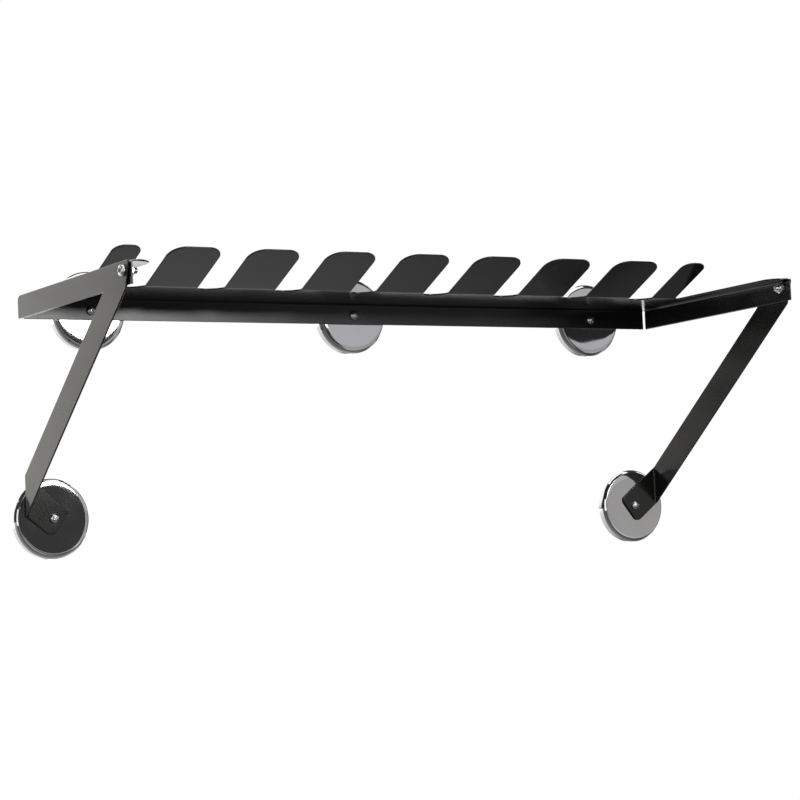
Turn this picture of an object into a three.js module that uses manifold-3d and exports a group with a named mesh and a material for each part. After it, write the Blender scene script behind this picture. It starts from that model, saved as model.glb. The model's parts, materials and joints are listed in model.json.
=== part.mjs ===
// Magnet-mounted slotted rack: a folded sheet rail with upturned fingers, two side
// brackets that hang on one bolt each, and five round cup magnets that hold the rack
// on a steel wall.
//
// Millimetres. +X runs along the rail, +Y points into the wall, +Z is up. The wall is
// the plane y = 0, the rail's middle is x = 0 and its top face is z = 0.
import * as THREE from 'three';
import { mergeVertices } from 'three/addons/utils/BufferGeometryUtils.js';
import Module from 'manifold-3d';

const wasm = await Module();
wasm.setup();

// ---- Driving dimensions ----

const SHEET = 1.5; // thickness of all sheet parts
const BEND_INSIDE = 1.5; // inside radius of the 90 degree folds
const CLEARANCE = 0.3; // gap between faces that touch on the real rack

const RAIL_LENGTH = 630; // over the outer faces of the two arms
const ARM_REACH = 231; // from the wall to the front edge of the arms
const FLANGE_HEIGHT = 19; // height of every folded-down flange
const ARM_SHELF_WIDTH = 20.5; // width of an arm's flat top
const ARM_CORNER_RADIUS = 15; // front inner corner of an arm's flat top
const FOLD_RELIEF = 0.7; // how far each folded flange stops short of the other's fold

const SLOT_COUNT = 8;
const SLOT_PITCH = 72;
const SLOT_WIDTH = 24.5;
const FINGER_FOLD_REACH = 94; // from the wall to the line where the fingers turn up
const FINGER_FOLD_RADIUS = 6;
const FINGER_LENGTH = 59;
const FINGER_RISE = THREE.MathUtils.degToRad(24.5);
const FINGER_CORNER_RADIUS = 14;
const END_FINGER_CORNER_RADIUS = 10;
const FINGER_KERF = 5; // cut between an end finger and the arm's shelf
const FINGER_KERF_DEPTH = 2; // how far that cut runs past the fold line

const MAGNET_RADIUS = 33.35;
const MAGNET_THICKNESS = 9.5;
const CUP_WALL = 1.5;
const CUP_SHOULDER_HEIGHT = 6.3; // from the contact face to the start of the shoulder
const CUP_FACE_RADIUS = 30; // flat middle of the cup's front
const CUP_EDGE_RADIUS = 1;
const RING_RECESS = 0.4; // the ferrite stays this far behind the cup's rim
const RING_HOLE_RADIUS = 9;
const BAR_MAGNET_SPACING = 252;
const BAR_MAGNET_DROP = 11;

const LEG_SLOPE = 0.763; // drop per millimetre towards the wall
const LEG_WIDTH = 27;
const LEG_FOOT_DROP = 166.3; // height of the leg's centre line below z = 0 at the wall fold
const BRACKET_WALL_GAP = 10; // from the wall to the bracket's arm
const BRACKET_NOSE_SETBACK = 7; // how far the nose slants back below the tip
const BRACKET_TOP_RADIUS = 5;
const BRACKET_CORNER_RADIUS = 1.5;
const FOOT_TAB_LENGTH = 40; // along the tab, from the fold to its end
const FOOT_TAB_RADIUS = 5;
const FOOT_MAGNET_FROM_FOLD = 25; // across, from the bracket's outer face

const PIVOT_SETBACK = 10.5; // from the arm's front edge to the pivot bolt
const PIVOT_DROP = 7.5;

const MAGNET_SCREW = { radius: 2, headRadius: 4, headHeight: 3.1, recess: 4.4, length: 9 };
const PIVOT_BOLT = { radius: 2.5, headRadius: 4.75, headHeight: 3.7, recess: 5, length: 11.5 };
const MAGNET_NUT = { bore: 2.15, acrossFlats: 7, height: 3.2, collar: 0 };
const PIVOT_NUT = { bore: 2.65, acrossFlats: 8, height: 3.6, collar: 1.4 };
const HOLE_PLAY = 0.25; // clearance of a screw hole, on radius
const RECESS_SLOT = 1.1; // width of the cross recess's arms
const RECESS_DEPTH = 1.6;

const BEND_STEPS = 6;
const CORNER_STEPS = 8;
const MAGNET_SEGMENTS = 48;
const FASTENER_SEGMENTS = 20;

// ---- Derived places ----

const halfLength = RAIL_LENGTH / 2;
const bendMiddle = BEND_INSIDE + SHEET / 2;
const bendOutside = BEND_INSIDE + SHEET;
const flangeBack = -(MAGNET_THICKNESS + CLEARANCE);
const flangeMiddle = flangeBack - SHEET / 2;
const flangeFront = flangeBack - SHEET;
const shelfMiddle = -SHEET / 2;
const fingerSpan = halfLength - ARM_SHELF_WIDTH;
const plateInner = halfLength + CLEARANCE;
const plateOuter = plateInner + SHEET;
const pivotY = -(ARM_REACH - PIVOT_SETBACK);
const footMagnetX = plateOuter - FOOT_MAGNET_FROM_FOLD;
const legAngle = Math.atan(LEG_SLOPE);
const legHalfHeight = LEG_WIDTH / 2 / Math.cos(legAngle);
const foldArc = bendMiddle * Math.PI / 2; // length of a 90 degree fold along the sheet's middle
const foldStartY = flangeFront - BEND_INSIDE;
const foldStartX = plateInner - BEND_INSIDE; // where the foot tab's fold ends

// ---- Materials ----

function finish(color, roughness, metalness) {
  return new THREE.MeshStandardMaterial({ color, roughness, metalness });
}

const blackPaint = () => finish(0x1b1b1a, 0.25, 0);
const chrome = () => finish(0xd8dadb, 0.1, 1);
const zinc = () => finish(0xc4c6c8, 0.3, 1);
const ferrite = () => finish(0x2c2b2a, 0.8, 0);

// ---- Solid helpers ----

function solid(geometry) {
  const bare = geometry.clone();
  bare.deleteAttribute('normal');
  bare.deleteAttribute('uv');
  const merged = mergeVertices(bare, 1e-4);
  return new wasm.Manifold(new wasm.Mesh({
    numProp: 3,
    vertProperties: new Float32Array(merged.attributes.position.array),
    triVerts: new Uint32Array(merged.index.array),
  }));
}

function geometryOf(manifold) {
  const mesh = manifold.getMesh();
  const geometry = new THREE.BufferGeometry();
  geometry.setAttribute('position', new THREE.BufferAttribute(mesh.vertProperties, 3));
  geometry.setIndex(new THREE.BufferAttribute(mesh.triVerts, 1));
  return geometry;
}

function union(parts) {
  return parts.reduce((whole, part) => whole.add(part));
}

function cut(body, cutters) {
  return cutters.reduce((rest, cutter) => rest.subtract(cutter), body);
}

function prism(points, depth) {
  const shape = new THREE.Shape(points);
  return new THREE.ExtrudeGeometry(shape, { depth, bevelEnabled: false, steps: 1 });
}

// An outline in Y and Z, swept along X from one place to another.
function sweepX(points, fromX, toX) {
  const turn = new THREE.Matrix4().makeBasis(
    new THREE.Vector3(0, 1, 0),
    new THREE.Vector3(0, 0, 1),
    new THREE.Vector3(1, 0, 0),
  );
  const geometry = prism(points, toX - fromX).applyMatrix4(turn);
  return geometry.translate(fromX, 0, 0);
}

// An outline in X and Z, swept along Y from one place to another.
function sweepY(points, fromY, toY) {
  const turn = new THREE.Matrix4().makeBasis(
    new THREE.Vector3(1, 0, 0),
    new THREE.Vector3(0, 0, 1),
    new THREE.Vector3(0, -1, 0),
  );
  const geometry = prism(points, toY - fromY).applyMatrix4(turn);
  return geometry.translate(0, toY, 0);
}

// An outline in X and Y, swept along Z from one place to another.
function sweepZ(points, fromZ, toZ) {
  return prism(points, toZ - fromZ).translate(0, 0, fromZ);
}

function mirrored(geometry) {
  const flipped = geometry.clone().scale(-1, 1, 1);
  const index = flipped.index.array;
  for (let i = 0; i < index.length; i += 3) {
    [index[i], index[i + 1]] = [index[i + 1], index[i]];
  }
  return flipped;
}

function arc(centreX, centreY, radius, fromAngle, toAngle, steps) {
  return Array.from({ length: steps + 1 }, (_, i) => {
    const angle = fromAngle + (toAngle - fromAngle) * i / steps;
    return new THREE.Vector2(
      centreX + radius * Math.cos(angle),
      centreY + radius * Math.sin(angle),
    );
  });
}

// The arc that rounds a corner between two others: its centre, start and turn.
function cornerArc(before, corner, after, radius) {
  const back = before.clone().sub(corner).normalize();
  const ahead = after.clone().sub(corner).normalize();
  const halfAngle = Math.acos(back.dot(ahead)) / 2;
  const inward = back.clone().add(ahead).normalize();
  return {
    centre: corner.clone().addScaledVector(inward, radius / Math.sin(halfAngle)),
    start: corner.clone().addScaledVector(back, radius / Math.tan(halfAngle)),
    turn: -Math.sign(back.cross(ahead)) * (Math.PI - 2 * halfAngle),
  };
}

// Points on that arc, moved out from its own radius by the given offset.
function arcPoints({ centre, start, turn }, steps, offset = 0) {
  const spoke = start.clone().sub(centre);
  spoke.setLength(spoke.length() + offset);
  return Array.from({ length: steps + 1 }, (_, i) => (
    spoke.clone().rotateAround(new THREE.Vector2(), turn * i / steps).add(centre)
  ));
}

// A closed outline from corners, each given as [x, y, radius].
function outline(corners) {
  const points = corners.map(([x, y]) => new THREE.Vector2(x, y));
  return corners.flatMap(([, , radius], i) => {
    const before = points[(i + points.length - 1) % points.length];
    const after = points[(i + 1) % points.length];
    if (!radius) return [points[i]];
    return arcPoints(cornerArc(before, points[i], after, radius), CORNER_STEPS);
  });
}

// The closed section of a folded sheet whose middle surface follows the given corners,
// each given as [x, y, bend radius].
function foldedSection(corners) {
  const middle = corners.map(([x, y]) => new THREE.Vector2(x, y));
  const side = (offset) => corners.flatMap(([, , radius], i) => {
    const here = middle[i];
    const before = middle[Math.max(i - 1, 0)];
    const after = middle[Math.min(i + 1, middle.length - 1)];
    if (radius) {
      const bend = cornerArc(before, here, after, radius);
      return arcPoints(bend, BEND_STEPS, bend.turn > 0 ? -offset : offset);
    }
    const along = after.clone().sub(before).normalize();
    return [new THREE.Vector2(here.x - along.y * offset, here.y + along.x * offset)];
  });
  return [...side(SHEET / 2), ...side(-SHEET / 2).reverse()];
}

function cylinderAlongX(radius, fromX, toX, y, z, segments) {
  const geometry = new THREE.CylinderGeometry(radius, radius, toX - fromX, segments);
  return geometry.rotateZ(Math.PI / 2).translate((fromX + toX) / 2, y, z);
}

function cylinderAlongY(radius, fromY, toY, x, z, segments) {
  const geometry = new THREE.CylinderGeometry(radius, radius, toY - fromY, segments);
  return geometry.translate(x, (fromY + toY) / 2, z);
}

// ---- Rail: one folded sheet with a slotted shelf, two arms and three flanges ----

function shelfWithFingers() {
  const tipReach = FINGER_FOLD_REACH + FINGER_LENGTH * Math.cos(FINGER_RISE);
  const tipHeight = shelfMiddle + FINGER_LENGTH * Math.sin(FINGER_RISE);
  const section = foldedSection([
    [flangeMiddle, -FLANGE_HEIGHT, 0],
    [flangeMiddle, shelfMiddle, bendMiddle],
    [-FINGER_FOLD_REACH, shelfMiddle, FINGER_FOLD_RADIUS],
    [-tipReach, tipHeight, 0],
  ]);
  return solid(sweepX(section, -fingerSpan, fingerSpan));
}

// The bar's flange runs on under the arms' shelves, up to the fold of each arm.
function barFlange() {
  const section = foldedSection([
    [flangeMiddle, -FLANGE_HEIGHT, 0],
    [flangeMiddle, shelfMiddle, bendMiddle],
    [-FINGER_FOLD_REACH, shelfMiddle, 0],
  ]);
  const end = halfLength - bendOutside - FOLD_RELIEF + SHEET / 2;
  return solid(sweepX(section, -end, end));
}

function arm() {
  const section = foldedSection([
    [fingerSpan, shelfMiddle, 0],
    [halfLength - SHEET / 2, shelfMiddle, bendMiddle],
    [halfLength - SHEET / 2, -FLANGE_HEIGHT, 0],
  ]);
  const wallEnd = flangeFront - BEND_INSIDE + FOLD_RELIEF / 2;
  return sweepY(section, -ARM_REACH, wallEnd);
}

// Removes the square corner of an arm's shelf outside its rounded front corner.
function armCornerCutter() {
  const radius = ARM_CORNER_RADIUS;
  const x = fingerSpan;
  const y = -ARM_REACH;
  return sweepZ([
    ...arc(x + radius, y + radius, radius, Math.PI, Math.PI * 1.5, CORNER_STEPS),
    new THREE.Vector2(x + radius, y - radius),
    new THREE.Vector2(x - radius, y - radius),
    new THREE.Vector2(x - radius, y + radius),
  ], -SHEET * 2, SHEET);
}

function slotCentres() {
  return Array.from({ length: SLOT_COUNT }, (_, i) => (i - (SLOT_COUNT - 1) / 2) * SLOT_PITCH);
}

// The round inner end of a slot, in the flat shelf.
function slotEndCutter(centre) {
  const half = SLOT_WIDTH / 2;
  const past = FINGER_FOLD_REACH + FINGER_LENGTH;
  return sweepZ([
    ...arc(centre, -FINGER_FOLD_REACH, half, 0, Math.PI, CORNER_STEPS * 2),
    new THREE.Vector2(centre - half, -past),
    new THREE.Vector2(centre + half, -past),
  ], -FINGER_LENGTH, FINGER_LENGTH);
}

// An outline in the plane of the raised fingers: x along the rail, y up the finger.
function fingerPlaneCutter(points) {
  const depth = FINGER_LENGTH / 2;
  const up = new THREE.Vector3(0, -Math.cos(FINGER_RISE), Math.sin(FINGER_RISE));
  const along = new THREE.Vector3(1, 0, 0);
  const turn = new THREE.Matrix4().makeBasis(along, up, along.clone().cross(up));
  const geometry = prism(points, depth).translate(0, 0, -depth / 2).applyMatrix4(turn);
  return geometry.translate(0, -FINGER_FOLD_REACH, shelfMiddle);
}

// Rounds the two finger corners beside one slot.
function fingerCornerCutter(centre, leftRadius, rightRadius) {
  const left = centre - SLOT_WIDTH / 2;
  const right = centre + SLOT_WIDTH / 2;
  const top = FINGER_LENGTH;
  const beyond = top * 1.2;
  const inner = top / 2;
  return fingerPlaneCutter([
    new THREE.Vector2(left, inner),
    new THREE.Vector2(right, inner),
    ...arc(right + rightRadius, top - rightRadius, rightRadius, Math.PI, Math.PI / 2, CORNER_STEPS),
    new THREE.Vector2(right + rightRadius, beyond),
    new THREE.Vector2(left - leftRadius, beyond),
    ...arc(left - leftRadius, top - leftRadius, leftRadius, Math.PI / 2, 0, CORNER_STEPS),
  ]);
}

// The cut between the right end finger and the arm, with that finger's outer corner.
function endKerfCutters() {
  const edge = fingerSpan - FINGER_KERF;
  const radius = END_FINGER_CORNER_RADIUS;
  const top = FINGER_LENGTH;
  const corner = fingerPlaneCutter([
    new THREE.Vector2(edge, top / 2),
    new THREE.Vector2(edge + radius, top / 2),
    new THREE.Vector2(edge + radius, top * 1.2),
    new THREE.Vector2(edge - radius, top * 1.2),
    ...arc(edge - radius, top - radius, radius, Math.PI / 2, 0, CORNER_STEPS),
  ]);
  const kerfStart = -(FINGER_FOLD_REACH - FINGER_KERF_DEPTH);
  const kerfEnd = -(FINGER_FOLD_REACH + FINGER_LENGTH);
  const kerf = new THREE.BoxGeometry(FINGER_KERF, kerfStart - kerfEnd, 2 * FINGER_LENGTH);
  kerf.translate(edge + FINGER_KERF / 2, (kerfStart + kerfEnd) / 2, 0);
  return [corner, kerf];
}

function rail() {
  const rightArm = mergeVertices(arm());
  const corner = mergeVertices(armCornerCutter());
  const kerfs = endKerfCutters().map((geometry) => mergeVertices(geometry));
  const body = union([
    shelfWithFingers(),
    barFlange(),
    solid(rightArm),
    solid(mirrored(rightArm)),
  ]);
  const centres = slotCentres();
  const last = centres.length - 1;
  const cornerCutters = centres.map((centre, i) => fingerCornerCutter(
    centre,
    i === 0 ? END_FINGER_CORNER_RADIUS : FINGER_CORNER_RADIUS,
    i === last ? END_FINGER_CORNER_RADIUS : FINGER_CORNER_RADIUS,
  ));
  const screwHoles = [-1, 0, 1].map((side) => cylinderAlongY(
    MAGNET_SCREW.radius + HOLE_PLAY,
    flangeFront - SHEET,
    flangeBack + SHEET,
    side * BAR_MAGNET_SPACING,
    -BAR_MAGNET_DROP,
    FASTENER_SEGMENTS,
  ));
  const boltHoles = [-1, 1].map((side) => cylinderAlongX(
    PIVOT_BOLT.radius + HOLE_PLAY,
    side * halfLength - SHEET * 2,
    side * halfLength + SHEET * 2,
    pivotY,
    -PIVOT_DROP,
    FASTENER_SEGMENTS,
  ));
  return cut(body, [
    ...centres.map(slotEndCutter),
    ...cornerCutters,
    corner,
    mirrored(corner),
    ...kerfs,
    ...kerfs.map(mirrored),
    ...screwHoles,
    ...boltHoles,
  ].map(solid));
}

// ---- Side bracket: arm, slanting leg and foot tab folded from one plate ----

// Height of the leg's centre line, at a distance measured along the unfolded plate
// from the start of the foot's fold (towards the foot is positive).
function legCentre(distance) {
  return -LEG_FOOT_DROP - LEG_SLOPE * (distance - foldArc / 2);
}

const legCentreAt = (y) => legCentre(y - foldStartY);

function bracketPlate() {
  const front = -ARM_REACH;
  const noseY = front + BRACKET_NOSE_SETBACK;
  const lowerEdge = (y) => legCentreAt(y) - legHalfHeight;
  const upperEdge = (y) => legCentreAt(y) + legHalfHeight;
  const innerCornerY = foldStartY + (upperEdge(foldStartY) + FLANGE_HEIGHT) / LEG_SLOPE;
  return sweepX(outline([
    [-BRACKET_WALL_GAP, 0, BRACKET_TOP_RADIUS],
    [front, 0, BRACKET_CORNER_RADIUS],
    [noseY, lowerEdge(noseY), BRACKET_CORNER_RADIUS],
    [foldStartY, lowerEdge(foldStartY), 0],
    [foldStartY, upperEdge(foldStartY), 0],
    [innerCornerY, -FLANGE_HEIGHT, 0],
    [-BRACKET_WALL_GAP, -FLANGE_HEIGHT, BRACKET_CORNER_RADIUS],
  ]), plateInner, plateOuter);
}

// The lower end of the leg, carried round the fold and on along the foot tab. Each
// section is an upright slice of the strip: [inner x, y] and [outer x, y] with its height.
function footStrip() {
  const overlap = LEG_WIDTH / 4;
  const slices = [{
    inner: [plateInner, foldStartY - overlap],
    outer: [plateOuter, foldStartY - overlap],
    at: -overlap,
  }];
  for (let i = 0; i <= BEND_STEPS; i += 1) {
    const turn = Math.PI / 2 * i / BEND_STEPS;
    const point = (radius) => [
      foldStartX + radius * Math.cos(turn),
      foldStartY + radius * Math.sin(turn),
    ];
    slices.push({
      inner: point(BEND_INSIDE),
      outer: point(bendOutside),
      at: foldArc * i / BEND_STEPS,
    });
  }
  slices.push({
    inner: [foldStartX - FOOT_TAB_LENGTH, foldStartY + BEND_INSIDE],
    outer: [foldStartX - FOOT_TAB_LENGTH, foldStartY + bendOutside],
    at: foldArc + FOOT_TAB_LENGTH,
  });
  const positions = [];
  for (const { inner, outer, at } of slices) {
    const low = legCentre(at) - legHalfHeight;
    const high = legCentre(at) + legHalfHeight;
    positions.push(...inner, low, ...outer, low, ...outer, high, ...inner, high);
  }
  const indices = [0, 1, 2, 0, 2, 3];
  for (let slice = 0; slice < slices.length - 1; slice += 1) {
    for (let corner = 0; corner < 4; corner += 1) {
      const a = slice * 4 + corner;
      const b = slice * 4 + (corner + 1) % 4;
      indices.push(a, a + 4, b, b, a + 4, b + 4);
    }
  }
  const end = (slices.length - 1) * 4;
  indices.push(end, end + 2, end + 1, end, end + 3, end + 2);
  const geometry = new THREE.BufferGeometry();
  geometry.setAttribute('position', new THREE.Float32BufferAttribute(positions, 3));
  geometry.setIndex(indices);
  return geometry;
}

// Trims the foot tab square to its own length, with two rounded corners.
function footEndCutter() {
  const half = LEG_WIDTH / 2;
  const radius = FOOT_TAB_RADIUS;
  const end = FOOT_TAB_LENGTH;
  const start = end - radius;
  const margin = LEG_WIDTH;
  const shape = [
    ...arc(start, -half + radius, radius, -Math.PI / 2, 0, CORNER_STEPS),
    ...arc(start, half - radius, radius, 0, Math.PI / 2, CORNER_STEPS),
    new THREE.Vector2(start, half + margin),
    new THREE.Vector2(end + margin, half + margin),
    new THREE.Vector2(end + margin, -half - margin),
    new THREE.Vector2(start, -half - margin),
  ];
  const origin = new THREE.Vector2();
  const place = new THREE.Vector2(foldStartX + foldArc, legCentre(0));
  const turned = shape.map((point) => point.rotateAround(origin, Math.PI + legAngle).add(place));
  return sweepY(turned, flangeFront - SHEET, flangeBack + SHEET);
}

function footMagnetZ() {
  return legCentre(foldStartX + foldArc - footMagnetX);
}

function bracket() {
  const body = union([solid(bracketPlate()), solid(footStrip())]);
  const boltHole = cylinderAlongX(
    PIVOT_BOLT.radius + HOLE_PLAY,
    plateInner - SHEET,
    plateOuter + SHEET,
    pivotY,
    -PIVOT_DROP,
    FASTENER_SEGMENTS,
  );
  const screwHole = cylinderAlongY(
    MAGNET_SCREW.radius + HOLE_PLAY,
    flangeFront - SHEET,
    flangeBack + SHEET,
    footMagnetX,
    footMagnetZ(),
    FASTENER_SEGMENTS,
  );
  return cut(body, [footEndCutter(), boltHole, screwHole].map(solid));
}

// ---- Cup magnet: pressed cup, ferrite ring, screw and nut, all round the Y axis ----

function lathe(profile, segments) {
  const points = profile.map(([radius, y]) => new THREE.Vector2(radius, y));
  return mergeVertices(new THREE.LatheGeometry([...points, points[0].clone()], segments));
}

function cup() {
  const wallInside = MAGNET_RADIUS - CUP_WALL;
  const floorInside = -MAGNET_THICKNESS + CUP_WALL;
  const hole = MAGNET_SCREW.radius + HOLE_PLAY;
  return lathe([
    [hole, floorInside],
    [hole, -MAGNET_THICKNESS],
    [CUP_FACE_RADIUS, -MAGNET_THICKNESS],
    [MAGNET_RADIUS - CUP_EDGE_RADIUS * 2, -CUP_SHOULDER_HEIGHT - CUP_EDGE_RADIUS],
    [MAGNET_RADIUS - CUP_EDGE_RADIUS * 0.5, -CUP_SHOULDER_HEIGHT - CUP_EDGE_RADIUS * 0.3],
    [MAGNET_RADIUS, -CUP_SHOULDER_HEIGHT + CUP_EDGE_RADIUS],
    [MAGNET_RADIUS, 0],
    [wallInside, 0],
    [wallInside, -CUP_SHOULDER_HEIGHT + CUP_WALL],
    [CUP_FACE_RADIUS - CUP_WALL / 2, floorInside],
  ], MAGNET_SEGMENTS);
}

function ferriteRing() {
  const outside = MAGNET_RADIUS - CUP_WALL - CLEARANCE;
  const shoulder = -CUP_SHOULDER_HEIGHT + CUP_WALL + CLEARANCE * 2;
  const floor = -MAGNET_THICKNESS + CUP_WALL + CLEARANCE;
  return lathe([
    [RING_HOLE_RADIUS, -RING_RECESS],
    [RING_HOLE_RADIUS, floor],
    [CUP_FACE_RADIUS - CUP_WALL, floor],
    [outside, shoulder],
    [outside, -RING_RECESS],
  ], MAGNET_SEGMENTS);
}

// A pan-head screw along Y, its head's underside at y = 0 and its head towards -Y.
function panScrew({ radius, headRadius, headHeight, recess, length }) {
  const tip = radius * 0.35;
  const body = lathe([
    [0, length],
    [0, -headHeight],
    [headRadius * 0.45, -headHeight * 0.94],
    [headRadius * 0.75, -headHeight * 0.76],
    [headRadius * 0.95, -headHeight * 0.46],
    [headRadius, -headHeight * 0.15],
    [headRadius, 0],
    [radius, 0],
    [radius, length - tip],
    [radius - tip, length],
  ], FASTENER_SEGMENTS);
  const depth = RECESS_DEPTH * 2;
  const cross = [
    new THREE.BoxGeometry(recess, depth, RECESS_SLOT),
    new THREE.BoxGeometry(RECESS_SLOT, depth, recess),
  ].map((box) => solid(box.translate(0, -headHeight, 0)));
  return geometryOf(cut(solid(body), cross));
}

// A hexagon nut along Y from y = 0, with an optional round locking collar on top.
function hexNut({ bore, acrossFlats, height, collar }) {
  const acrossCorners = acrossFlats / Math.cos(Math.PI / 6);
  const chamfer = (acrossCorners - acrossFlats) / 2;
  const block = new THREE.CylinderGeometry(acrossCorners / 2, acrossCorners / 2, height, 6);
  const envelope = lathe([
    [0, 0],
    [acrossFlats / 2, 0],
    [acrossCorners / 2, chamfer],
    [acrossCorners / 2, height - chamfer],
    [acrossFlats / 2, height],
    [0, height],
  ], FASTENER_SEGMENTS);
  const hex = solid(block.translate(0, height / 2, 0)).intersect(solid(envelope));
  const topRadius = acrossFlats / 2 - chamfer;
  const ring = lathe([
    [0, height / 2],
    [topRadius + chamfer / 2, height / 2],
    [topRadius + chamfer / 2, height + collar / 2],
    [topRadius, height + collar],
    [0, height + collar],
  ], FASTENER_SEGMENTS);
  const body = collar ? hex.add(solid(ring)) : hex;
  const total = height + collar;
  const hole = new THREE.CylinderGeometry(bore, bore, total * 2, FASTENER_SEGMENTS);
  return geometryOf(body.subtract(solid(hole.translate(0, total / 2, 0))));
}

// ---- Assembly ----

const rack = new THREE.Group();

function add(parent, name, geometry, material) {
  const mesh = new THREE.Mesh(geometry, material);
  mesh.name = name;
  parent.add(mesh);
  return mesh;
}

function addMagnet(name, x, z) {
  const place = new THREE.Group();
  place.position.set(x, 0, z);
  rack.add(place);
  add(place, `${name}_magnet_cup`, cup(), chrome());
  add(place, `${name}_magnet_ferrite`, ferriteRing(), ferrite());
  const screw = add(place, `${name}_magnet_screw`, panScrew(MAGNET_SCREW), zinc());
  screw.position.y = flangeFront - CLEARANCE;
  const nut = add(place, `${name}_magnet_nut`, hexNut(MAGNET_NUT), zinc());
  nut.position.y = -MAGNET_THICKNESS + CUP_WALL + CLEARANCE;
}

// The bolt's head is outside the bracket and its lock nut is inside the arm.
function addPivot(name, side) {
  const place = new THREE.Group();
  place.position.set(0, pivotY, -PIVOT_DROP);
  rack.add(place);
  const bolt = add(place, `${name}_pivot_bolt`, panScrew(PIVOT_BOLT), zinc());
  bolt.position.x = side * (plateOuter + CLEARANCE);
  bolt.rotation.z = side * Math.PI / 2;
  const nut = add(place, `${name}_pivot_lock_nut`, hexNut(PIVOT_NUT), zinc());
  nut.position.x = side * (halfLength - SHEET - CLEARANCE);
  nut.rotation.z = side * Math.PI / 2;
}

const rightBracket = mergeVertices(geometryOf(bracket()));
add(rack, 'slotted_rail', geometryOf(rail()), blackPaint());
add(rack, 'left_side_bracket', mirrored(rightBracket), blackPaint());
add(rack, 'right_side_bracket', rightBracket, blackPaint());
addPivot('left', -1);
addPivot('right', 1);
addMagnet('bar_left', -BAR_MAGNET_SPACING, -BAR_MAGNET_DROP);
addMagnet('bar_centre', 0, -BAR_MAGNET_DROP);
addMagnet('bar_right', BAR_MAGNET_SPACING, -BAR_MAGNET_DROP);
addMagnet('foot_left', -footMagnetX, footMagnetZ());
addMagnet('foot_right', footMagnetX, footMagnetZ());

export default rack;
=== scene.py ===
import json
import math

import bmesh
import bpy
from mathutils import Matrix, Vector
from mathutils.geometry import delaunay_2d_cdt


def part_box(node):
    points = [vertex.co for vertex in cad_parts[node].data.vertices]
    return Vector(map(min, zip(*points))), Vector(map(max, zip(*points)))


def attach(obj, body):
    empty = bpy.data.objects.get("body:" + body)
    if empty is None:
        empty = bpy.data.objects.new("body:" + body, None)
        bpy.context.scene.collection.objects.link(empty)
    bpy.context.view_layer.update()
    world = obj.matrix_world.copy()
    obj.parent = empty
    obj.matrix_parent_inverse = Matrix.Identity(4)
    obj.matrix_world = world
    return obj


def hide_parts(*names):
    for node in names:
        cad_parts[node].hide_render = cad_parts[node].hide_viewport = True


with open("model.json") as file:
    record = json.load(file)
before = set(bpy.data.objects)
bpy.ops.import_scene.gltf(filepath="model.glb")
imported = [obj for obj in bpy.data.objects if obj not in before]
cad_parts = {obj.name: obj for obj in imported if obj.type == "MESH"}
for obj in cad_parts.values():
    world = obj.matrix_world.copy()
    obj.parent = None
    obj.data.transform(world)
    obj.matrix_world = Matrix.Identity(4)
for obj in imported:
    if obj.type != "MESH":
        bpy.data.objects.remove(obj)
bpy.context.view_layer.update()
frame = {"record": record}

# Metres throughout. +X runs along the rail, +Y points into the wall, +Z is up.
MM = 0.001

# ---- Sheet-metal dimensions, the same as the CAD's ----

SHEET = 1.5 * MM
HALF_SHEET = SHEET / 2
FOLD_RADIUS = 2.25 * MM  # middle surface of every 90 degree fold
FINGER_FOLD_RADIUS = 6 * MM
FINGER_RISE = math.radians(24.5)
FINGER_FOLD_Y = -94 * MM
FINGER_LENGTH = 59 * MM
FINGER_CORNER = 14 * MM
END_FINGER_CORNER = 10 * MM
SLOT_PITCH = 72 * MM
SLOT_WIDTH = 24.5 * MM
SLOT_COUNT = 8
KERF = 5 * MM
KERF_END_Y = -92 * MM
ARM_SHELF = 20.5 * MM
ARM_CORNER = 15 * MM
FLANGE_HEIGHT = 19 * MM
FLANGE_CORNER = 0.8 * MM
CORNER_SETBACK = 3 * MM  # from the folded outer faces to where the flanges part
FOLD_RELIEF = 0.45 * MM
EDGE_ROUND = 0.42 * MM  # painted edges of the cut sheet
MAGNET_HOLE = 2.25 * MM
BOLT_HOLE = 2.75 * MM
LEG_SLOPE = 0.763
LEG_WIDTH = 27 * MM
LEG_FOOT_DROP = 166.3 * MM
FOOT_TAB = 40 * MM
FOOT_TAB_CORNER = 5 * MM
NOSE_SETBACK = 7 * MM
BRACKET_TOP_CORNER = 5 * MM
SMALL_CORNER = 1.5 * MM
FOLD_STEPS = 10

NODE_BODY = {
    node: body
    for body, nodes in frame["record"]["behaviour"]["bodies"].items()
    for node in nodes
}
MAGNETS = ("bar_left", "bar_centre", "bar_right", "foot_left", "foot_right")


def centre(node):
    low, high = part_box(node)
    return (low + high) / 2


# ---- Materials ----


def new_material(name):
    material = bpy.data.materials.new(name)
    material.use_nodes = True
    tree = material.node_tree
    tree.nodes.clear()
    output = tree.nodes.new("ShaderNodeOutputMaterial")
    shader = tree.nodes.new("ShaderNodeBsdfPrincipled")
    tree.links.new(shader.outputs["BSDF"], output.inputs["Surface"])
    return material, tree, shader


def noise(tree, scale, detail, seed=0.0, stretch=(1, 1, 1)):
    """Noise over the object's own metres; seed shifts it to another patch."""
    place = tree.nodes.new("ShaderNodeTexCoord")
    mapping = tree.nodes.new("ShaderNodeMapping")
    mapping.inputs["Location"].default_value = (seed, seed * 0.7, seed * 1.3)
    mapping.inputs["Scale"].default_value = stretch
    texture = tree.nodes.new("ShaderNodeTexNoise")
    texture.inputs["Scale"].default_value = scale
    texture.inputs["Detail"].default_value = detail
    tree.links.new(place.outputs["Object"], mapping.inputs["Vector"])
    tree.links.new(mapping.outputs["Vector"], texture.inputs["Vector"])
    return texture.outputs["Fac"]


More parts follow.
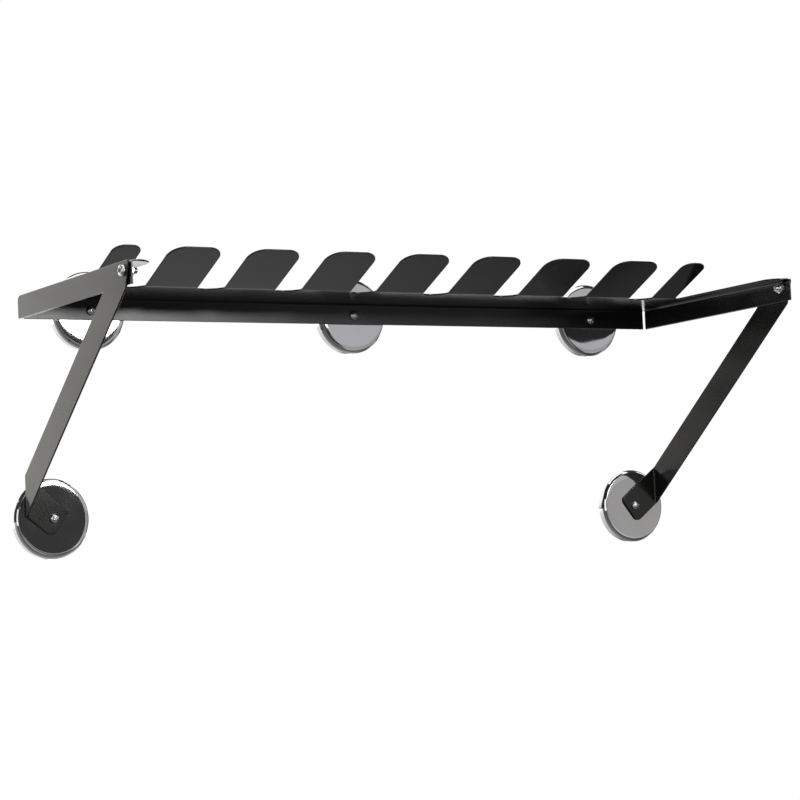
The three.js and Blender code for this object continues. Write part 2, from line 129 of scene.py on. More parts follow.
def ramp(tree, value, stops):
    node = tree.nodes.new("ShaderNodeValToRGB")
    elements = node.color_ramp.elements
    for (position, color), element in zip(stops, elements):
        element.position = position
        element.color = color
    for position, color in stops[2:]:
        elements.new(position).color = color
    tree.links.new(value, node.inputs["Fac"])
    return node.outputs["Color"]


def grey(value):
    return (value, value, value, 1)


def span(tree, value, low, high):
    """The noise value carried from its usual 0.3..0.7 to low..high."""
    node = tree.nodes.new("ShaderNodeMapRange")
    node.inputs["From Min"].default_value = 0.3
    node.inputs["From Max"].default_value = 0.7
    node.inputs["To Min"].default_value = low
    node.inputs["To Max"].default_value = high
    tree.links.new(value, node.inputs["Value"])
    return node.outputs["Result"]


def bump(tree, shader, height, distance, strength, before=None):
    node = tree.nodes.new("ShaderNodeBump")
    node.inputs["Distance"].default_value = distance
    node.inputs["Strength"].default_value = strength
    tree.links.new(height, node.inputs["Height"])
    if before is not None:
        tree.links.new(before, node.inputs["Normal"])
    tree.links.new(node.outputs["Normal"], shader.inputs["Normal"])
    return node.outputs["Normal"]


def black_paint():
    """Glossy powder coat: nearly black, with orange peel and faint handling smears."""
    material, tree, shader = new_material("black_powder_coat")
    tone = ramp(tree, noise(tree, 18, 3, 2.0), [
        (0.3, (0.0052, 0.0049, 0.0046, 1)),
        (0.7, (0.0082, 0.0077, 0.0072, 1)),
    ])
    tree.links.new(tone, shader.inputs["Base Color"])
    smears = noise(tree, 14, 1, 5.0, (1, 1, 2.5))
    tree.links.new(span(tree, smears, 0.17, 0.22), shader.inputs["Roughness"])
    peel = bump(tree, shader, noise(tree, 420, 1, 1.0), 0.00005, 0.012)
    bump(tree, shader, noise(tree, 2600, 1, 3.0), 0.000005, 0.01, peel)
    shader.inputs["IOR"].default_value = 1.46
    return material


def chrome():
    """Thin chrome on pressed steel: a clear mirror with a little waviness and haze."""
    material, tree, shader = new_material("chrome_plate")
    tone = ramp(tree, noise(tree, 30, 4, 3.0), [
        (0.3, (0.52, 0.52, 0.53, 1)),
        (0.7, (0.57, 0.57, 0.575, 1)),
    ])
    tree.links.new(tone, shader.inputs["Base Color"])
    shader.inputs["Metallic"].default_value = 1
    haze = noise(tree, 40, 2, 7.0)
    tree.links.new(span(tree, haze, 0.04, 0.075), shader.inputs["Roughness"])
    bump(tree, shader, noise(tree, 45, 1, 4.0), 0.0004, 0.012)
    return material


def zinc():
    """Bright zinc plate on the screws and nuts."""
    material, tree, shader = new_material("bright_zinc_plate")
    tone = ramp(tree, noise(tree, 400, 4, 1.5), [
        (0.3, (0.56, 0.57, 0.58, 1)),
        (0.7, (0.74, 0.75, 0.755, 1)),
    ])
    tree.links.new(tone, shader.inputs["Base Color"])
    shader.inputs["Metallic"].default_value = 1
    grain = noise(tree, 900, 4, 2.5)
    tree.links.new(span(tree, grain, 0.16, 0.32), shader.inputs["Roughness"])
    bump(tree, shader, noise(tree, 3000, 3, 6.0), 0.00003, 0.25)
    return material


def ferrite():
    """Sintered ceramic magnet: dark, matt and finely pitted."""
    material, tree, shader = new_material("sintered_ferrite")
    tone = ramp(tree, noise(tree, 700, 6, 1.0), [
        (0.35, (0.022, 0.021, 0.020, 1)),
        (0.65, (0.050, 0.048, 0.046, 1)),
    ])
    tree.links.new(tone, shader.inputs["Base Color"])
    grain = noise(tree, 1600, 5, 2.0)
    tree.links.new(span(tree, grain, 0.55, 0.85), shader.inputs["Roughness"])
    bump(tree, shader, grain, 0.0001, 0.35)
    return material


MATERIALS = {
    "black_paint": black_paint(),
    "chrome_cup": chrome(),
    "zinc_hardware": zinc(),
    "ferrite": ferrite(),
}

# ---- Meshes ----


def add_piece(name, mesh, node, slot):
    """A finer piece that stands for a CAD node, on that node's body."""
    mesh.materials.clear()
    mesh.materials.append(MATERIALS[slot])
    piece = bpy.data.objects.new(name, mesh)
    bpy.context.scene.collection.objects.link(piece)
    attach(piece, NODE_BODY[node])
    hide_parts(node)
    return piece


def to_mesh(bm, name, sharp_angle=math.radians(35)):
    """The bmesh as a smooth mesh, with its faces turned out and its hard edges kept."""
    bmesh.ops.recalc_face_normals(bm, faces=bm.faces)
    for face in bm.faces:
        face.smooth = True
    for edge in bm.edges:
        edge.smooth = edge.calc_face_angle(0) < sharp_angle
    mesh = bpy.data.meshes.new(name)
    bm.to_mesh(mesh)
    bm.free()
    return mesh


def applied(mesh, name, *modifiers):
    """The mesh with modifiers applied, each given as (type, settings)."""
    holder = bpy.data.objects.new(name + "_work", mesh)
    bpy.context.scene.collection.objects.link(holder)
    for kind, settings in modifiers:
        modifier = holder.modifiers.new(kind, kind)
        for key, value in settings.items():
            setattr(modifier, key, value)
    graph = bpy.context.evaluated_depsgraph_get()
    result = bpy.data.meshes.new_from_object(holder.evaluated_get(graph))
    bpy.data.objects.remove(holder)
    bpy.data.meshes.remove(mesh)
    result.name = name
    return result


HOLE_SEGMENTS = 24
CORNER_STEPS = 12


def round_hole(x, y, radius):
    """A closed circle of points, for a hole in a flat plate."""
    angles = [2 * math.pi * k / HOLE_SEGMENTS for k in range(HOLE_SEGMENTS)]
    return [Vector((x + radius * math.cos(a), y + radius * math.sin(a))) for a in angles]


def rounded(corners):
    """A closed outline from corners given as (x, y, radius)."""
    points = [Vector(corner[:2]) for corner in corners]
    outline = []
    for i, (_, _, radius) in enumerate(corners):
        here = points[i]
        if not radius:
            outline.append(here)
            continue
        back = (points[i - 1] - here).normalized()
        ahead = (points[(i + 1) % len(points)] - here).normalized()
        half = back.angle(ahead) / 2
        middle = here + (back + ahead).normalized() * (radius / math.sin(half))
        spoke = here + back * (radius / math.tan(half)) - middle
        turn = math.copysign(math.pi - 2 * half, -(back.x * ahead.y - back.y * ahead.x))
        for k in range(CORNER_STEPS + 1):
            angle = turn * k / CORNER_STEPS
            cos, sin = math.cos(angle), math.sin(angle)
            outline.append(middle + Vector((
                spoke.x * cos - spoke.y * sin,
                spoke.x * sin + spoke.y * cos,
            )))
    return outline


def signed_area(loop):
    return sum(a.x * b.y - b.x * a.y for a, b in zip(loop, loop[1:] + loop[:1])) / 2


def inset_loop(loop, distance):
    """The loop moved to its left by a distance: inwards if it runs anticlockwise."""
    moved = []
    for i, here in enumerate(loop):
        before = (here - loop[i - 1]).normalized()
        after = (loop[(i + 1) % len(loop)] - here).normalized()
        left = Vector((-before.y - after.y, before.x + after.x)).normalized()
        cosine = max(0.4, left.dot(Vector((-before.y, before.x))))
        moved.append(here + left * (distance / cosine))
    return moved


def is_inside(point, loop):
    inside = False
    for a, b in zip(loop, loop[1:] + loop[:1]):
        if (a.y > point.y) != (b.y > point.y):
            if point.x < a.x + (b.x - a.x) * (point.y - a.y) / (b.y - a.y):
                inside = not inside
    return inside


def flat_plate(outline, holes):
    """A flat plate with rounded edges: outline and holes in XY, thickness along Z."""
    loops = [outline if signed_area(outline) > 0 else outline[::-1]]
    loops += [hole if signed_area(hole) < 0 else hole[::-1] for hole in holes]
    steps = 3
    quarter = [
        (EDGE_ROUND * (1 - math.sin(a)), HALF_SHEET - EDGE_ROUND * (1 - math.cos(a)))
        for a in (math.pi / 2 * k / steps for k in range(steps + 1))
    ]
    rim = quarter + [(inset, -height) for inset, height in reversed(quarter)]
    bm = bmesh.new()
    caps = {1: [], -1: []}
    for loop in loops:
        rings = []
        for inset, height in rim:
            ring = [bm.verts.new((p.x, p.y, height)) for p in inset_loop(loop, inset)]
            rings.append(ring)
        for upper, lower in zip(rings, rings[1:]):
            for i in range(len(loop)):
                j = (i + 1) % len(loop)
                bm.faces.new((upper[i], lower[i], lower[j], upper[j]))
        caps[1].append(rings[0])
        caps[-1].append(rings[-1])
    for side, rings in caps.items():
        verts = [vert for ring in rings for vert in ring]
        points = [vert.co.xy for vert in verts]
        edges, start = [], 0
        for ring in rings:
            count = len(ring)
            edges += [(start + i, start + (i + 1) % count) for i in range(count)]
            start += count
        loops_2d = [[vert.co.xy for vert in ring] for ring in rings]
        _, _, faces, origin, _, _ = delaunay_2d_cdt(points, edges, [], 0, 1e-9)
        for face in faces:
            corners = [verts[origin[k][0]] for k in face]
            middle = sum((v.co.xy for v in corners), Vector((0, 0))) / len(corners)
            if not is_inside(middle, loops_2d[0]):
                continue
            if any(is_inside(middle, hole) for hole in loops_2d[1:]):
                continue
            bm.faces.new(corners if side > 0 else corners[::-1])
    return bm


def slice_at(bm, axis, places):
    """Cuts the plate across at each place, so that it can bend there."""
    normal = Vector((1, 0, 0)) if axis == "x" else Vector((0, 1, 0))
    for place in places:
        everything = bm.verts[:] + bm.edges[:] + bm.faces[:]
        bmesh.ops.bisect_plane(
            bm, geom=everything, dist=1e-7, plane_co=normal * place, plane_no=normal
        )


def bend(distance, radius, angle):
    """How far along, how far across and how much turned a sheet is, past a fold's start."""
    turned = min(distance / radius, angle)
    straight = max(0.0, distance - radius * angle)
    along = radius * math.sin(turned) + straight * math.cos(angle)
    across = radius * (1 - math.cos(turned)) + straight * math.sin(angle)
    return along, across, turned


def folded(bm, name, mapping):
    for vert in bm.verts:
        vert.co = mapping(*vert.co)
    bmesh.ops.dissolve_degenerate(bm, dist=1e-6, edges=bm.edges)
    mesh = to_mesh(bm, name, math.radians(70))
    weigh = {"weight": 100, "mode": "FACE_AREA", "thresh": 0.001, "keep_sharp": True}
    return applied(mesh, name, ("WEIGHTED_NORMAL", weigh))


def fold_places(start, radius, angle, direction):
    return [
        start + direction * radius * angle * k / FOLD_STEPS for k in range(FOLD_STEPS + 1)
    ]


# ---- Rail: one sheet, cut flat and folded ----

RAIL_LOW, RAIL_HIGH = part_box("slotted_rail")
HALF_LENGTH = RAIL_HIGH.x
ARM_FRONT = RAIL_LOW.y
FLANGE_BACK = RAIL_HIGH.y
QUARTER_TURN = math.pi / 2
FOLD_ARC = FOLD_RADIUS * QUARTER_TURN
SHELF_Z = -HALF_SHEET
BACK_FOLD_Y = FLANGE_BACK - HALF_SHEET - FOLD_RADIUS
ARM_FOLD_X = HALF_LENGTH - HALF_SHEET - FOLD_RADIUS
FLANGE_STRAIGHT = FLANGE_HEIGHT - HALF_SHEET - FOLD_RADIUS
TANGENT = FINGER_FOLD_RADIUS * math.tan(FINGER_RISE / 2)
FINGER_FOLD_START = FINGER_FOLD_Y + TANGENT
FINGER_TIP = (
    FINGER_FOLD_START - FINGER_FOLD_RADIUS * FINGER_RISE - (FINGER_LENGTH - TANGENT)
)
BAR_END_X = HALF_LENGTH - CORNER_SETBACK - FOLD_RELIEF + HALF_SHEET
ARM_BACK_Y = FLANGE_BACK - CORNER_SETBACK + FOLD_RELIEF / 2
ARM_INNER_X = HALF_LENGTH - ARM_SHELF
FINGER_END_X = ARM_INNER_X - KERF
PIVOT = centre("right_pivot_bolt")


def rail_outline():
    """The right half's outline from the middle of the bar, then its mirror image."""
    flange_end = BACK_FOLD_Y + FOLD_ARC + FLANGE_STRAIGHT
    arm_end = ARM_FOLD_X + FOLD_ARC + FLANGE_STRAIGHT
    half_slot = SLOT_WIDTH / 2
    right = [
        (BAR_END_X, flange_end, FLANGE_CORNER),
        (BAR_END_X, ARM_BACK_Y, 0),
        (arm_end, ARM_BACK_Y, FLANGE_CORNER),
        (arm_end, ARM_FRONT, FLANGE_CORNER),
        (ARM_INNER_X, ARM_FRONT, ARM_CORNER),
        (ARM_INNER_X, KERF_END_Y, KERF * 0.3),
        (FINGER_END_X, KERF_END_Y, KERF * 0.3),
        (FINGER_END_X, FINGER_TIP, END_FINGER_CORNER),
    ]
    first = SLOT_PITCH / 2
    for i in reversed(range(SLOT_COUNT // 2)):
        slot = first + i * SLOT_PITCH
        outer = END_FINGER_CORNER if i == SLOT_COUNT // 2 - 1 else FINGER_CORNER
        root = FINGER_FOLD_Y + half_slot
        right += [
            (slot + half_slot, FINGER_TIP, outer),
            (slot + half_slot, root, half_slot * 0.999),
            (slot - half_slot, root, half_slot * 0.999),
            (slot - half_slot, FINGER_TIP, FINGER_CORNER),
        ]
    left = [(-x, y, radius) for x, y, radius in reversed(right)]
    return rounded(right + left)


def rail_map(x, y, z):
    side = math.copysign(1, x)
    if y > BACK_FOLD_Y and abs(x) <= BAR_END_X + MM * 0.01:
        along, across, turned = bend(y - BACK_FOLD_Y, FOLD_RADIUS, QUARTER_TURN)
        place = Vector((x, BACK_FOLD_Y + along, SHELF_Z - across))
        normal = Vector((0, math.sin(turned), math.cos(turned)))
    elif abs(x) > ARM_FOLD_X:
        along, across, turned = bend(abs(x) - ARM_FOLD_X, FOLD_RADIUS, QUARTER_TURN)
        place = Vector((side * (ARM_FOLD_X + along), y, SHELF_Z - across))
        normal = Vector((side * math.sin(turned), 0, math.cos(turned)))
    elif y < FINGER_FOLD_START and abs(x) < FINGER_END_X + KERF / 2:
        along, across, turned = bend(
            FINGER_FOLD_START - y, FINGER_FOLD_RADIUS, FINGER_RISE
        )
        place = Vector((x, FINGER_FOLD_START - along, SHELF_Z + across))
        normal = Vector((0, math.sin(turned), math.cos(turned)))
    else:
        place = Vector((x, y, SHELF_Z))
        normal = Vector((0, 0, 1))
    return place + normal * z


def make_rail():
    down = SHELF_Z - FOLD_RADIUS
    holes = []
    for name in ("bar_left", "bar_centre", "bar_right"):
        spot = centre(name + "_magnet_screw")
        y = BACK_FOLD_Y + FOLD_ARC + (down - spot.z)
        holes.append(round_hole(spot.x, y, MAGNET_HOLE))
    for side in (-1, 1):
        x = side * (ARM_FOLD_X + FOLD_ARC + (down - PIVOT.z))
        holes.append(round_hole(x, PIVOT.y, BOLT_HOLE))
    plate = flat_plate(rail_outline(), holes)
    slice_at(plate, "y", fold_places(BACK_FOLD_Y, FOLD_RADIUS, QUARTER_TURN, 1))
    slice_at(plate, "y", fold_places(
        FINGER_FOLD_START, FINGER_FOLD_RADIUS, FINGER_RISE, -1
    ))
    for side in (-1, 1):
        slice_at(plate, "x", fold_places(
            side * ARM_FOLD_X, FOLD_RADIUS, QUARTER_TURN, side
        ))
    mesh = folded(plate, "slotted_rail_sheet", rail_map)
    add_piece("slotted_rail_sheet", mesh, "slotted_rail", "black_paint")


# ---- Side brackets: the right one, and its mirror image ----


def make_brackets():
    low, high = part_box("right_side_bracket")
    plate_x = high.x - HALF_SHEET
    fold_x = high.x - SHEET - FOLD_RADIUS + HALF_SHEET
    fold_y = BACK_FOLD_Y
    leg = Vector((1, -LEG_SLOPE)).normalized()
    across = Vector((leg.y, -leg.x)) * (LEG_WIDTH / 2)
    half_height = LEG_WIDTH / 2 * math.hypot(1, LEG_SLOPE)

    def leg_centre(y):
        return -LEG_FOOT_DROP - LEG_SLOPE * (y - fold_y - FOLD_ARC / 2)

    def lower(y):
        return leg_centre(y) - half_height

    nose = low.y + NOSE_SETBACK
    inner_y = fold_y + (leg_centre(fold_y) + half_height + FLANGE_HEIGHT) / LEG_SLOPE
    end = Vector((fold_y, leg_centre(fold_y))) + leg * FOOT_TAB
    outline = rounded([
        (high.y, 0, BRACKET_TOP_CORNER),
        (low.y, 0, SMALL_CORNER),
        (nose, lower(nose), SMALL_CORNER),
        (*(end + across), FOOT_TAB_CORNER),
        (*(end - across), FOOT_TAB_CORNER),
        (inner_y, -FLANGE_HEIGHT, 0.4 * MM),
        (high.y, -FLANGE_HEIGHT, SMALL_CORNER),
    ])
    screw = centre("foot_right_magnet_screw")
    tab_y = fold_y + FOLD_ARC + (fold_x - screw.x)
    holes = [
        round_hole(PIVOT.y, PIVOT.z, BOLT_HOLE),
        round_hole(tab_y, screw.z, MAGNET_HOLE),
    ]

    def bracket_map(y, z, out):
        if y <= fold_y or z > -2 * FLANGE_HEIGHT:
            return Vector((plate_x + out, y, z))
        along, inward, turned = bend(y - fold_y, FOLD_RADIUS, QUARTER_TURN)
        place = Vector((plate_x - inward, fold_y + along, z))
        return place + Vector((math.cos(turned), math.sin(turned), 0)) * out

    for side, label in ((1, "right"), (-1, "left")):
        plate = flat_plate(outline, holes)
        slice_at(plate, "x", fold_places(fold_y, FOLD_RADIUS, QUARTER_TURN, 1))

        def mapping(y, z, out, side=side):
            place = bracket_map(y, z, out)
            return Vector((side * place.x, place.y, place.z))

        name = label + "_side_bracket_sheet"
        mesh = folded(plate, name, mapping)
        add_piece(name, mesh, label + "_side_bracket", "black_paint")


# ---- Turned pieces ----


def fillet(points, steps=5):
    """A lathe profile whose corners, given as (radius, along, rounding), are rounded."""
    profile = []
    for i, (radius, along, rounding) in enumerate(points):
        here = Vector((radius, along))
        if not rounding:
            profile.append(here)
            continue
        back = (Vector(points[i - 1][:2]) - here).normalized()
        ahead = (Vector(points[(i + 1) % len(points)][:2]) - here).normalized()
        half = back.angle(ahead) / 2
        reach = rounding / math.tan(half)
        start, end = here + back * reach, here + ahead * reach
        for k in range(steps + 1):
            t = k / steps
            profile.append(
                start * (1 - t) ** 2 + here * 2 * t * (1 - t) + end * t ** 2
            )
    return profile


def frame_of(origin, direction):
    """Maps (radius, angle, along) about an axis to a place."""
    axis = Vector(direction).normalized()
    side = axis.orthogonal().normalized()
    other = axis.cross(side)

    def place(radius, angle, along):
        spoke = side * math.cos(angle) + other * math.sin(angle)
        return origin + spoke * radius + axis * along

    return place


def lathe(profile, place, segments, closed=False):
    """A turned solid; a profile that isn't closed starts and ends on the axis."""
    bm = bmesh.new()
    rings = []
    for radius, along in profile:
        if radius < 1e-7:
            rings.append([bm.verts.new(place(0, 0, along))])
            continue
        rings.append([
            bm.verts.new(place(radius, 2 * math.pi * k / segments, along))
            for k in range(segments)
        ])
    pairs = list(zip(rings, rings[1:])) + ([(rings[-1], rings[0])] if closed else [])
    for first, second in pairs:
        for k in range(segments):
            n = (k + 1) % segments
            near = [first[0]] if len(first) == 1 else [first[k], first[n]]
            far = [second[0]] if len(second) == 1 else [second[n], second[k]]
            if len(near) + len(far) > 2:
                bm.faces.new(near + far)
    return bm


CUP_WALL = 1.5 * MM
# radii of the cup's and the ring's features
CUP_FACE = 30 * MM
RING_HOLE = 9 * MM
BOSS = 5.5 * MM  # flat round the screw, where the dish starts
BEAD = 24.0 * MM  # crease between the dished middle and the sloping margin
MARGIN = 29.5 * MM  # outer end of the sloping margin
DISH = 0.05 * MM  # depth of the dish at the screw
FALL = 5.0  # the margin falls by this times the square of the distance, per metre
SHOULDER = 6.7 * MM  # from the contact face to the rounded shoulder
CUP_SEGMENTS = 144
RING_SEGMENTS = 96


def cup_front(radius, deep):
    """Height of the pressed front: a dished middle, a crease and a margin that falls away."""
    if radius < BEAD:
        return deep - DISH * (1 - (radius / BEAD) ** 2)
    return deep - FALL * (radius - BEAD) ** 2


def make_cup(name):
    low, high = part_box(name + "_magnet_cup")
    spot = (low + high) / 2
    radius = (high.x - low.x) / 2
    deep = high.y - low.y
    place = frame_of(Vector((spot.x, 0, spot.z)), (0, -1, 0))
    steps = 26
    face = [BOSS + (MARGIN - BOSS) * k / steps for k in range(steps + 1)]
    edge = cup_front(MARGIN, deep)
    profile = fillet([
        (MAGNET_HOLE, deep - 0.35 * MM, 0.2 * MM),
        *((r, cup_front(r, deep), 0) for r in face),
        (MARGIN + 1.6 * MM, edge - 0.2 * MM, 0.8 * MM),
        (radius - 1.1 * MM, SHOULDER + 1.2 * MM, 0.8 * MM),
        (radius, SHOULDER - 0.6 * MM, 1.5 * MM),
        (radius, SHOULDER - 2.6 * MM, 0),
        (radius, 0.35 * MM, 0),
        (radius - 0.35 * MM, 0, 0),
        (radius - CUP_WALL + 0.2 * MM, 0, 0),
        (radius - CUP_WALL, 0.2 * MM, 0),
        (radius - CUP_WALL, SHOULDER - 2.0 * MM, 0.8 * MM),
        (CUP_FACE - CUP_WALL / 2, deep - CUP_WALL, 0.8 * MM),
        (MAGNET_HOLE, deep - CUP_WALL, 0),
    ], 8)
    mesh = to_mesh(lathe(profile, place, CUP_SEGMENTS, True), name + "_cup_shell")
    add_piece(name + "_cup_shell", mesh, name + "_magnet_cup", "chrome_cup")


def make_ferrite(name):
    low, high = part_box(name + "_magnet_ferrite")
    spot = (low + high) / 2
    radius = (high.x - low.x) / 2
    back, front = -high.y, -low.y
    step = 2.0 * MM
    place = frame_of(Vector((spot.x, 0, spot.z)), (0, -1, 0))
    profile = fillet([
        (RING_HOLE, back, 0.4 * MM),
        (RING_HOLE, front, 0.3 * MM),
        (CUP_FACE - CUP_WALL, front, 0.5 * MM),
        (radius, front - step, 0.5 * MM),
        (radius, back, 0.5 * MM),
    ], 4)
    mesh = to_mesh(lathe(profile, place, RING_SEGMENTS, True), name + "_ferrite_ring")
    add_piece(name + "_ferrite_ring", mesh, name + "_magnet_ferrite", "ferrite")


# ---- Screws and nuts ----


THREAD_DEPTH = 0.54  # in pitches
RINGS_PER_PITCH = 6
TIP_LENGTH = 0.2  # in shares of the shank's radius
TIP_RADIUS = 0.72
HEAD_SEGMENTS = 48
NUT_SEGMENTS = 64
BORE_SEGMENTS = 40


def seat_of(node, direction, head_height=0):
    """The place on a node's centre line where a head ends, and the node's length."""
    low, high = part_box(node)
    axis = Vector(direction)
    spot = (low + high) / 2
    start, end = sorted((low.dot(axis), high.dot(axis)))
    return spot + axis * (start + head_height - spot.dot(axis)), end - start


def thread_rings(radius, pitch, start, end):
    """Rings of a thread's crest and root line, as a function of the angle."""
    depth = pitch * THREAD_DEPTH
    count = int((end - start) / pitch * RINGS_PER_PITCH)

    def ring(index, angle):
        along = start + (end - start) * index / count
        phase = (along / pitch - angle / (2 * math.pi)) % 1
        rise = abs(2 * phase - 1)
        fade = min(1.0, index / RINGS_PER_PITCH, (count - index) / RINGS_PER_PITCH)
        return radius - depth * min(1.0, rise * 1.25) * fade, along

    return ring, count


def threaded_shank(bm, place, radius, pitch, start, end, segments=32):
    ring, count = thread_rings(radius, pitch, start, end)
    rings = []
    for index in range(count + 1):
        row = []
        for k in range(segments):
            angle = 2 * math.pi * k / segments
            reach, along = ring(index, angle)
            row.append(bm.verts.new(place(reach, angle, along)))
        rings.append(row)
    for first, second in zip(rings, rings[1:]):
        for k in range(segments):
            n = (k + 1) % segments
            bm.faces.new((first[k], first[n], second[n], second[k]))
    under = bm.verts.new(place(0, 0, start))
    tip_along = end + radius * TIP_LENGTH
    tip_ring = [
        bm.verts.new(place(radius * TIP_RADIUS, 2 * math.pi * k / segments, tip_along))
        for k in range(segments)
    ]
    tip = bm.verts.new(place(0, 0, tip_along))
    for k in range(segments):
        n = (k + 1) % segments
        bm.faces.new((under, rings[0][n], rings[0][k]))
        bm.faces.new((rings[-1][k], rings[-1][n], tip_ring[n], tip_ring[k]))
        bm.faces.new((tip_ring[k], tip_ring[n], tip))


# The recess as (height, half length, half width), in shares of the head's height and radius.
RECESS = ((1.15, 0.60, 0.15), (0.80, 0.52, 0.13), (0.42, 0.24, 0.07))


def cross_cutter(place_of, head_radius, head_height):
    """A tapered cross recess, wide at the head's top and narrow at its floor."""
    bm = bmesh.new()
    for turn in (0, QUARTER_TURN):
        rings = []
        for height, reach, width in RECESS:
            ring = []
            for sx, sy in ((1, 1), (-1, 1), (-1, -1), (1, -1)):
                x, y = sx * reach * head_radius, sy * width * head_radius
                ring.append(bm.verts.new(place_of(
                    math.hypot(x, y), math.atan2(y, x) + turn, -head_height * height
                )))
            rings.append(ring)
        for first, second in zip(rings, rings[1:]):
            for k in range(4):
                n = (k + 1) % 4
                bm.faces.new((first[k], first[n], second[n], second[k]))
        bm.faces.new(rings[0][::-1])
        bm.faces.new(rings[-1])
    return bm


def boolean(mesh, cutter_bm, name, operation):
    cutter_mesh = to_mesh(cutter_bm, name + "_cutter")
    cutter = bpy.data.objects.new(name + "_cutter", cutter_mesh)
    bpy.context.scene.collection.objects.link(cutter)
    settings = {"operation": operation, "solver": "EXACT", "object": cutter}
    if operation == "DIFFERENCE":
        settings["use_self"] = True
    result = applied(mesh, name, ("BOOLEAN", settings))
    bpy.data.objects.remove(cutter)
    bpy.data.meshes.remove(cutter_mesh)
    return result


SLIVER = 0.002 * MM  # the boolean's slivers under this size are dissolved


def reshaded(mesh, name, extra=None):
    bm = bmesh.new()
    bm.from_mesh(mesh)
    bmesh.ops.dissolve_degenerate(bm, dist=SLIVER, edges=bm.edges)
    if extra is not None:
        extra(bm)
    bpy.data.meshes.remove(mesh)
    return to_mesh(bm, name, math.radians(32))


# A pan head from its top to its seat, in shares of its radius and of its height.
PAN_HEAD = (
    (0, 1), (0.30, 0.985), (0.52, 0.93), (0.72, 0.82), (0.87, 0.64),
    (0.96, 0.42), (0.998, 0.20), (0.998, 0.06), (0.97, 0), (0, 0),
)


def make_screw(node, name, direction, radius, pitch, head_radius, head_height):
    """A pan-head screw; direction runs from its head to its tip."""
    base, length = seat_of(node, direction, head_height)
    place = frame_of(base, direction)
    shank_end = length - head_height - radius * TIP_LENGTH
    dome = [(head_radius * wide, -head_height * high) for wide, high in PAN_HEAD]
    head = to_mesh(lathe(dome, place, HEAD_SEGMENTS), name + "_head")
    head = boolean(head, cross_cutter(place, head_radius, head_height), name, "DIFFERENCE")

    def add_shank(bm):
        threaded_shank(bm, place, radius, pitch, 0.02 * MM, shank_end)

    mesh = reshaded(head, name, add_shank)
    add_piece(name, mesh, node, "zinc_hardware")


def make_nut(node, name, direction, bore, height, collar):
    """A chamfered hexagon nut; direction runs from its seat to its free face."""
    low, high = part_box(node)
    size = high - low
    base, thickness = seat_of(node, direction)
    place = frame_of(base, direction)
    flats = min(width for width in size if abs(width - thickness) > 1e-6)
    corner = flats / 2 / math.cos(math.pi / 6)
    # the hexagon's corners point the way the CAD nut's longer side does
    if size.z >= max(size.x, size.y) - 1e-5:
        widest = Vector((0, 0, 1))
    else:
        widest = Vector((1, 0, 0)) if direction[0] == 0 else Vector((0, 1, 0))
    probe = place(1, 0, 0) - base
    other = place(1, QUARTER_TURN, 0) - base
    turn = math.atan2(widest.dot(other), widest.dot(probe))
    bm = bmesh.new()
    rings = [
        [bm.verts.new(place(corner, turn + math.pi / 3 * k, along)) for k in range(6)]
        for along in (0, height)
    ]
    for k in range(6):
        n = (k + 1) % 6
        bm.faces.new((rings[0][k], rings[0][n], rings[1][n], rings[1][k]))
    bm.faces.new(rings[0][::-1])
    bm.faces.new(rings[1])
    hexagon = to_mesh(bm, name + "_hexagon")
    chamfer = (corner - flats / 2) * 0.75
    envelope = lathe([
        (0, 0), (flats / 2 * 0.97, 0), (corner * 1.01, chamfer),
        (corner * 1.01, height - chamfer), (flats / 2 * 0.97, height), (0, height),
    ], place, NUT_SEGMENTS)
    body = boolean(hexagon, envelope, name, "INTERSECT")
    total = height + collar
    if collar:
        ring_radius = flats / 2 * 0.90
        ring = lathe(fillet([
            (0, height * 0.5, 0),
            (ring_radius, height * 0.5, 0),
            (ring_radius, total, 0.8 * MM),
            (0, total, 0),
        ]), place, NUT_SEGMENTS)
        body = boolean(body, ring, name, "UNION")
    hole = lathe([
        (0, -MM), (bore * 1.12, -MM), (bore * 1.12, 0), (bore, bore * 0.12),
        (bore, total - bore * 0.12), (bore * 1.12, total), (bore * 1.12, total + MM),
        (0, total + MM),
    ], place, BORE_SEGMENTS)
    body = boolean(body, hole, name, "DIFFERENCE")
    mesh = reshaded(body, name)
    add_piece(name, mesh, node, "zinc_hardware")


# ---- The rack ----

# radius, pitch, head radius and head height of the screws
MAGNET_SCREW = (2 * MM, 0.7 * MM, 4 * MM, 3.1 * MM)
PIVOT_BOLT = (2.5 * MM, 0.8 * MM, 4.75 * MM, 3.7 * MM)
# bore, height and collar height of the nuts
MAGNET_NUT = (2.15 * MM, 3.2 * MM, 0)
PIVOT_NUT = (2.65 * MM, 3.6 * MM, 1.4 * MM)
INTO_WALL = (0, 1, 0)

make_rail()
make_brackets()
for magnet in MAGNETS:
    make_cup(magnet)
    make_ferrite(magnet)
    make_screw(magnet + "_magnet_screw", magnet + "_pan_screw", INTO_WALL, *MAGNET_SCREW)
    make_nut(magnet + "_magnet_nut", magnet + "_hex_nut", INTO_WALL, *MAGNET_NUT)
for side, label in ((-1, "left"), (1, "right")):
    inwards = (-side, 0, 0)
    make_screw(label + "_pivot_bolt", label + "_pivot_pan_bolt", inwards, *PIVOT_BOLT)
    make_nut(label + "_pivot_lock_nut", label + "_pivot_nut", inwards, *PIVOT_NUT)

# ---- Stage, light and camera ----


def camera_ray_mix(tree, seen, otherwise, output):
    """Shows one shader to the camera and another to reflections and bounced light."""
    path = tree.nodes.new("ShaderNodeLightPath")
    mix = tree.nodes.new("ShaderNodeMixShader")
    tree.links.new(path.outputs["Is Camera Ray"], mix.inputs["Fac"])
    tree.links.new(otherwise, mix.inputs[1])
    tree.links.new(seen, mix.inputs[2])
    tree.links.new(mix.outputs["Shader"], output.inputs["Surface"])


